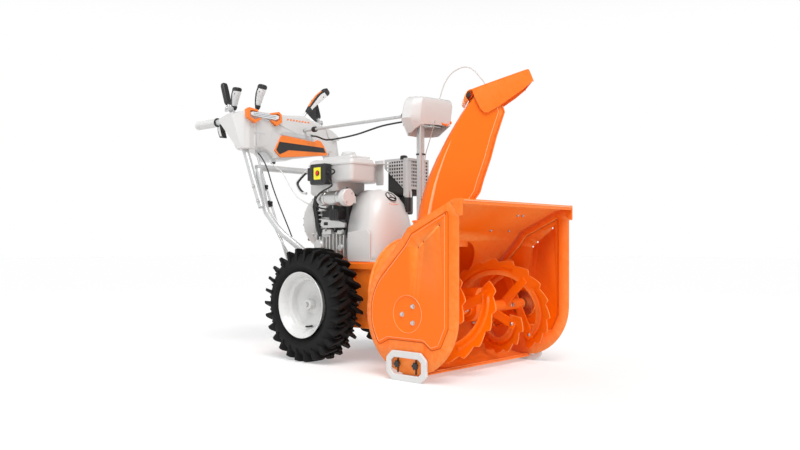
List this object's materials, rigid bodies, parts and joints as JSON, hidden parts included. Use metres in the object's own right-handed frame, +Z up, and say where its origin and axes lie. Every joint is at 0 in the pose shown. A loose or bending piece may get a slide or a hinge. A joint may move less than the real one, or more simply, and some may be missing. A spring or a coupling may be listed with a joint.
{
  "type": "two-stage snow blower",
  "caption": "Walk-behind two-stage snow blower with an auger housing, a turning discharge chute, an engine, two lugged wheels and a handlebar console.",
  "frame": {"origin": "centre of the footprint, on the ground", "axes": "+X towards the operator's left, -Y the way the machine drives forward (the auger housing faces -Y), +Z up"},
  "size_m": [0.6446, 1.442, 1.1144],
  "materials": {
    "orange_paint": "semi-gloss powder coat",
    "white_shell": "satin moulded plastic",
    "white_rim": "gloss paint",
    "lever_plastic": "two-tone moulded plastic",
    "pale_plastic": "matt moulded plastic",
    "grey_paint": "light grey powder coat",
    "tyre_rubber": "matt rubber",
    "black_plastic": "matt",
    "belt_rubber": "matt",
    "steel": "zinc plated",
    "cast_aluminium": "as cast",
    "lamp_metal": "bright reflector",
    "red_plastic": "gloss"
  },
  "bodies": {
    "root": {"side_plate_right": "orange_paint", "side_plate_left": "orange_paint", "housing_back": "orange_paint", "scraper_blade": "orange_paint", "impeller_housing": "orange_paint", "gear_case": "orange_paint", "tractor_frame": "orange_paint", "belt_cover": "white_shell", "fuel_tank": "white_shell", "recoil_housing": "white_shell", "console": "white_shell", "gear_cover": "white_shell", "skid_shoe_right": "pale_plastic", "skid_shoe_left": "pale_plastic", "grip_right": "pale_plastic", "grip_left": "pale_plastic", "deflector_cable": "pale_plastic", "handlebar_lower": "grey_paint", "handlebar_upper_right": "grey_paint", "handlebar_upper_left": "grey_paint", "chute_post": "grey_paint", "muffler_guard": "grey_paint", "switch_box": "black_plastic", "control_cable": "black_plastic", "clutch_cable": "black_plastic", "drive_belt": "belt_rubber", "auger_bearing_right": "steel", "auger_bearing_left": "steel", "impeller_bearing": "steel", "axle_bush_right": "steel", "axle_bush_left": "steel", "muffler": "steel", "engine_block": "cast_aluminium", "electric_starter": "cast_aluminium", "headlight": "lamp_metal"},
    "wheel_right": {"rim_right": "white_rim", "tyre_right": "tyre_rubber", "axle_right": "steel"},
    "wheel_left": {"rim_left": "white_rim", "tyre_left": "tyre_rubber", "axle_left": "steel"},
    "auger": {"auger_shaft": "steel", "auger_rake_right": "orange_paint", "auger_rake_left": "orange_paint"},
    "impeller_rotor": {"impeller": "orange_paint", "impeller_pulley": "steel"},
    "crank": {"engine_pulley": "steel"},
    "chute_body": {"chute": "orange_paint"},
    "deflector_body": {"deflector": "orange_paint"},
    "chute_control": {"chute_rod": "grey_paint", "chute_lever": "lever_plastic"},
    "pinion": {"pinion_shaft": "steel"},
    "speed_control": {"speed_lever": "lever_plastic"},
    "deflector_control": {"deflector_lever": "lever_plastic"},
    "clutch_right": {"clutch_lever_right": "black_plastic"},
    "clutch_left": {"clutch_lever_left": "black_plastic"},
    "recoil": {"recoil_handle": "grey_paint"},
    "start_button": {"starter_button": "red_plastic"},
    "key": {"ignition_key": "black_plastic"},
    "cap": {"fuel_cap": "pale_plastic"}
  },
  "joints": [
    {"name": "wheel_right_spin", "type": "hinge", "parent": "root", "child": "wheel_right", "pos_m": [-0.226, 0.022, 0.203], "axis": [1, 0, 0], "continuous": true},
    {"name": "wheel_left_spin", "type": "hinge", "parent": "root", "child": "wheel_left", "pos_m": [0.226, 0.022, 0.203], "axis": [1, 0, 0], "continuous": true},
    {"name": "auger_spin", "type": "hinge", "parent": "root", "child": "auger", "pos_m": [0, -0.522, 0.205], "axis": [1, 0, 0], "continuous": true},
    {"name": "impeller_spin", "type": "hinge", "parent": "root", "child": "impeller_rotor", "pos_m": [0, -0.306, 0.245], "axis": [0, 1, 0], "continuous": true},
    {"name": "crank_spin", "type": "hinge", "parent": "root", "child": "crank", "pos_m": [0, -0.161, 0.52], "axis": [0, 1, 0], "continuous": true},
    {"name": "chute_rotate", "type": "hinge", "parent": "root", "child": "chute_body", "pos_m": [0, -0.392, 0.5], "axis": [0, 0, 1], "range_deg": [-127, 43], "deforming": ["deflector_cable"]},
    {"name": "deflector_tilt", "type": "hinge", "parent": "chute_body", "child": "deflector_body", "pos_m": [0.07494, -0.47523, 0.915], "axis": [0.7431, 0.6691, 0], "range_deg": [-4, 45]},
    {"name": "chute_rod_spin", "type": "hinge", "parent": "root", "child": "chute_control", "pos_m": [0.05, 0.483, 0.889], "axis": [0, 1, 0], "range_deg": [-60, 22]},
    {"name": "pinion_spin", "type": "hinge", "parent": "root", "child": "pinion", "pos_m": [0.0235, -0.2741, 0.5], "axis": [0, 0, 1], "range_deg": [-250, 730]},
    {"name": "speed_lever_tilt", "type": "hinge", "parent": "root", "child": "speed_control", "pos_m": [-0.182, 0.555, 0.905], "axis": [1, 0, 0], "range_deg": [-20, 20]},
    {"name": "deflector_lever_tilt", "type": "hinge", "parent": "root", "child": "deflector_control", "pos_m": [-0.119, 0.495, 0.905], "axis": [1, 0, 0], "range_deg": [-23, 2.5]},
    {"name": "clutch_right_squeeze", "type": "hinge", "parent": "root", "child": "clutch_right", "pos_m": [-0.24, 0.505, 0.958], "axis": [1, 0, 0], "range_deg": [-62, 0], "stiffness_Nm_per_rad": 0.5, "springref_deg": 34.38},
    {"name": "clutch_left_squeeze", "type": "hinge", "parent": "root", "child": "clutch_left", "pos_m": [0.24, 0.505, 0.958], "axis": [1, 0, 0], "range_deg": [-62, 0], "stiffness_Nm_per_rad": 0.5, "springref_deg": 34.38},
    {"name": "recoil_pull", "type": "slide", "parent": "root", "child": "recoil", "axis": [0, 0.9659, -0.2588], "range_m": [0, 0.4], "stiffness_N_per_m": 20, "springref_m": -0.15},
    {"name": "button_press", "type": "slide", "parent": "root", "child": "start_button", "axis": [1, 0, 0], "range_m": [0, 0.004], "stiffness_N_per_m": 400, "springref_m": -0.002},
    {"name": "key_pull", "type": "slide", "parent": "root", "child": "key", "axis": [0, -1, 0], "range_m": [0, 0.03]},
    {"name": "fuel_cap_turn", "type": "hinge", "parent": "root", "child": "cap", "pos_m": [-0.065, 0.003, 0.75], "axis": [0, 0, 1], "range_deg": [0, 90]}
  ],
  "couplings": [
    {"joint": "impeller_spin", "follows": "auger_spin", "ratio": 10},
    {"joint": "chute_rod_spin", "follows": "chute_rotate", "ratio": 0.4545},
    {"joint": "pinion_spin", "follows": "chute_rotate", "ratio": -5.7},
    {"joint": "deflector_lever_tilt", "follows": "deflector_tilt", "ratio": -0.5}
  ]
}
